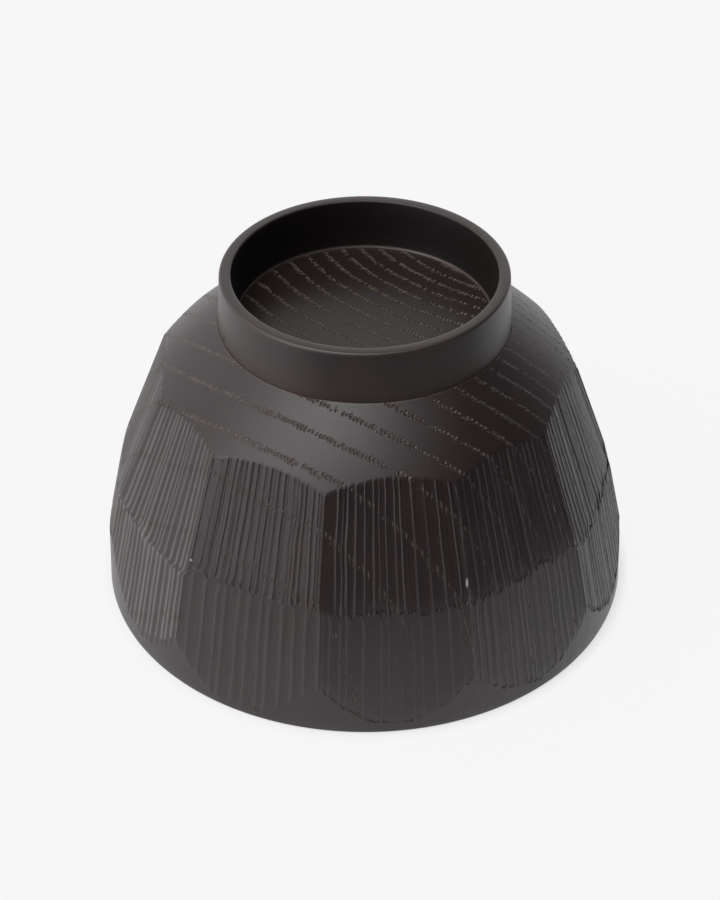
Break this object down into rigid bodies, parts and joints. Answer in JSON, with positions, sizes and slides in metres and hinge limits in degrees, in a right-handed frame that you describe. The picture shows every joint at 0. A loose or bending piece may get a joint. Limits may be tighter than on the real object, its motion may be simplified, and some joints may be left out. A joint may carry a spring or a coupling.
{
  "type": "faceted wooden soup bowl",
  "caption": "Deep turned wooden bowl with a band of hand-cut facets, a plain rim and a glued-on foot ring, shown upside down on its rim; holds soup or rice.",
  "frame": {"origin": "centre of the rim, on the surface that the overturned bowl rests on", "axes": "+Z along the bowl's axis from the rim to the foot, as pictured mouth down; turn 180 degrees about X to stand it on its foot"},
  "size_m": [0.115, 0.115, 0.0773],
  "materials": {
    "body_wood": "thin black-brown wiped lacquer on open-pored wood, satin",
    "foot_wood": "smooth black-brown lacquer on close-grained wood, satin"
  },
  "bodies": {
    "root": {"bowl_body": "body_wood", "foot_ring": "foot_wood"}
  },
  "joints": []
}
